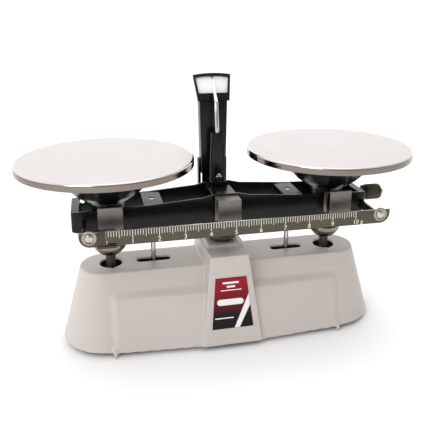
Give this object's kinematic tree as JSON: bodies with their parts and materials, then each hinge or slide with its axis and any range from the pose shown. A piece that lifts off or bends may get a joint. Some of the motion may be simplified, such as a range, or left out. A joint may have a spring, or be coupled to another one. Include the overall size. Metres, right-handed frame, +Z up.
{
  "type": "two-pan trip balance",
  "caption": "Equal-arm trip balance: two round plates over a tilting beam, a sliding poise on a graduated strip, a central pointer and a cast base.",
  "frame": {"origin": "on the table, at the middle of the overall footprint, under the fulcrum", "axes": "+X along the beam to the right as the user sees it, -Y towards the user, +Z up"},
  "size_m": [0.3566, 0.1524, 0.2338],
  "materials": {
    "grey_paint": "satin warm grey paint on a casting",
    "nameplate": "printed label, dark red fading to black",
    "dark_casting": "dark grey casting",
    "zinc_steel": "plain steel",
    "hard_steel": "ground hardened steel",
    "black_enamel": "semi-gloss black enamel",
    "dial_white": "white dial",
    "satin_steel": "satin grey sheet steel",
    "bright_chrome": "bright plated",
    "strip_metal": "dark satin metal with light graduations",
    "poise_brass": "pale brass",
    "dark_nickel": "dark nickel, knurled",
    "hub_metal": "turned metal",
    "plate_steel": "brushed stainless steel with polished rim"
  },
  "bodies": {
    "base": {"base_housing": "grey_paint", "nameplate": "nameplate", "fulcrum_pillar": "dark_casting", "pillar_bolts": "zinc_steel", "fulcrum_bearing": "hard_steel", "indicator_tower": "black_enamel", "tower_screws": "zinc_steel", "dial_frame": "black_enamel", "dial_plate": "dial_white", "link_hanger": "zinc_steel", "link_pivot_pin": "hard_steel"},
    "check_link": {"check_link": "zinc_steel", "link_pins": "hard_steel"},
    "beam": {"beam_frame": "black_enamel", "centre_knife": "hard_steel", "left_knife": "hard_steel", "right_knife": "hard_steel", "front_centre_cover": "satin_steel", "front_left_cover": "satin_steel", "front_right_cover": "satin_steel", "rear_left_cover": "satin_steel", "rear_right_cover": "satin_steel", "pointer_holder": "black_enamel", "holder_screw": "bright_chrome", "pointer": "bright_chrome", "left_limit_rod": "bright_chrome", "right_limit_rod": "bright_chrome", "left_stop_nut": "zinc_steel", "right_stop_nut": "zinc_steel", "poise_strip": "strip_metal", "left_strip_arm": "poise_brass", "right_strip_arm": "poise_brass", "strip_screws": "bright_chrome", "zero_stud": "zinc_steel", "zero_lock_ring": "dark_nickel"},
    "poise": {"poise": "poise_brass"},
    "zero_knob": {"zero_knob": "dark_nickel"},
    "left_pan": {"left_pan_support": "black_enamel", "left_pan_bearing": "hard_steel", "left_hub_cup": "hub_metal", "left_stem": "dark_casting"},
    "right_pan": {"right_pan_support": "black_enamel", "right_pan_bearing": "hard_steel", "right_hub_cup": "hub_metal", "right_stem": "dark_casting"},
    "left_plate": {"left_plate": "plate_steel"},
    "right_plate": {"right_plate": "plate_steel"}
  },
  "joints": [
    {"name": "beam_tilt", "type": "hinge", "parent": "base", "child": "beam", "pos_m": [0, 0, 0.1205], "axis": [0, 1, 0], "range_deg": [-4, 4]},
    {"name": "left_pan_level", "type": "hinge", "parent": "beam", "child": "left_pan", "pos_m": [-0.1021, 0, 0.1205], "axis": [0, 1, 0], "range_deg": [-4, 4]},
    {"name": "right_pan_level", "type": "hinge", "parent": "beam", "child": "right_pan", "pos_m": [0.1021, 0, 0.1205], "axis": [0, 1, 0], "range_deg": [-4, 4]},
    {"name": "link_tilt", "type": "hinge", "parent": "base", "child": "check_link", "pos_m": [0, 0, 0.022], "axis": [0, 1, 0], "range_deg": [-4, 4]},
    {"name": "poise_slide", "type": "slide", "parent": "beam", "child": "poise", "axis": [1, 0, 0], "range_m": [0, 0.2163]},
    {"name": "zero_knob_turn", "type": "hinge", "parent": "beam", "child": "zero_knob", "pos_m": [0.15, 0, 0.1205], "axis": [1, 0, 0], "range_deg": [-360, 360]},
    {"name": "left_plate_lift", "type": "slide", "parent": "left_pan", "child": "left_plate", "axis": [0, 0, 1], "range_m": [0, 0.03]},
    {"name": "right_plate_lift", "type": "slide", "parent": "right_pan", "child": "right_plate", "axis": [0, 0, 1], "range_m": [0, 0.03]}
  ],
  "couplings": [
    {"joint": "left_pan_level", "follows": "beam_tilt", "ratio": -1},
    {"joint": "right_pan_level", "follows": "beam_tilt", "ratio": -1},
    {"joint": "link_tilt", "follows": "beam_tilt", "ratio": 1}
  ]
}
